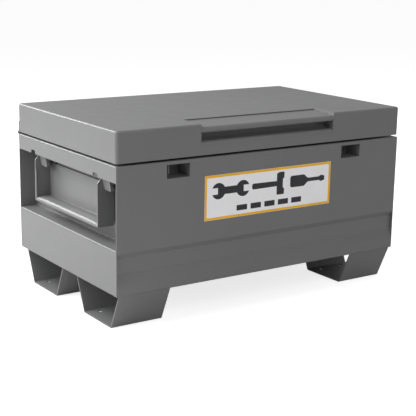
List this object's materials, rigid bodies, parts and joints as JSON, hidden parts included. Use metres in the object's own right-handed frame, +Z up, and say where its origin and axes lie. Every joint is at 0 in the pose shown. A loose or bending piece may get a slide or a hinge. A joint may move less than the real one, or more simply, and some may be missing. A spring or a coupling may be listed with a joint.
{
  "type": "jobsite tool chest",
  "caption": "Steel jobsite tool chest on skid feet, with a hinged lid, a long finger pull, recessed padlock pockets and drop handles in its ends.",
  "frame": {"origin": "on the floor, under the middle of the chest's outline", "axes": "+X to the right, +Y to the back where the hinge is, +Z up"},
  "size_m": [0.813, 0.4995, 0.448],
  "materials": {
    "body_paint": "semi-gloss grey powder coat",
    "seal_rubber": "matt",
    "pin_steel": "bright",
    "zinc_plate": "zinc plated",
    "strut_black": "semi-gloss black",
    "label_white": "printed vinyl"
  },
  "bodies": {
    "chest": {"front_panel": "body_paint", "back_panel": "body_paint", "left_end_panel": "body_paint", "right_end_panel": "body_paint", "floor_panel": "body_paint", "rim_seal": "seal_rubber", "left_lock_pocket": "body_paint", "right_lock_pocket": "body_paint", "lock_eyes": "body_paint", "front_left_foot": "body_paint", "front_right_foot": "body_paint", "rear_left_foot": "body_paint", "rear_right_foot": "body_paint", "left_handle_brackets": "body_paint", "right_handle_brackets": "body_paint", "left_handle_pins": "pin_steel", "right_handle_pins": "pin_steel", "label_plate": "label_white", "hinge_body_leaf": "body_paint", "hinge_pin": "pin_steel", "strut_wall_bracket": "zinc_plate"},
    "lid": {"hinge_lid_leaf": "body_paint", "lid_shell": "body_paint", "lid_rim_frame": "body_paint", "lid_grip_rail": "body_paint", "lid_grip_pocket": "body_paint", "lid_stiffener": "body_paint", "left_lock_hasp": "body_paint", "right_lock_hasp": "body_paint", "strut_lid_bracket": "zinc_plate"},
    "left_handle": {"left_handle": "body_paint"},
    "right_handle": {"right_handle": "body_paint"},
    "strut_cylinder": {"strut_cylinder": "strut_black"},
    "strut_rod": {"strut_rod": "pin_steel"}
  },
  "joints": [
    {"name": "lid_hinge", "type": "hinge", "parent": "chest", "child": "lid", "pos_m": [0, 0.24525, 0.375], "axis": [-1, 0, 0], "range_deg": [0, 95]},
    {"name": "left_handle_hinge", "type": "hinge", "parent": "chest", "child": "left_handle", "pos_m": [-0.3795, -0.00425, 0.316], "axis": [0, 1, 0], "range_deg": [0, 90]},
    {"name": "right_handle_hinge", "type": "hinge", "parent": "chest", "child": "right_handle", "pos_m": [0.3795, -0.00425, 0.316], "axis": [0, -1, 0], "range_deg": [0, 90]},
    {"name": "strut_swing", "type": "hinge", "parent": "chest", "child": "strut_cylinder", "pos_m": [-0.347, 0.09425, 0.221], "axis": [-1, 0, 0], "range_deg": [0, 14.63]},
    {"name": "strut_stroke", "type": "slide", "parent": "strut_cylinder", "child": "strut_rod", "axis": [0, 0.3825, 0.924], "range_m": [0, 0.1057]}
  ],
  "couplings": [
    {"joint": "strut_swing", "follows": "lid_hinge", "ratio": 0.15349},
    {"joint": "strut_stroke", "follows": "lid_hinge", "m_per_rad": 0.063547}
  ]
}
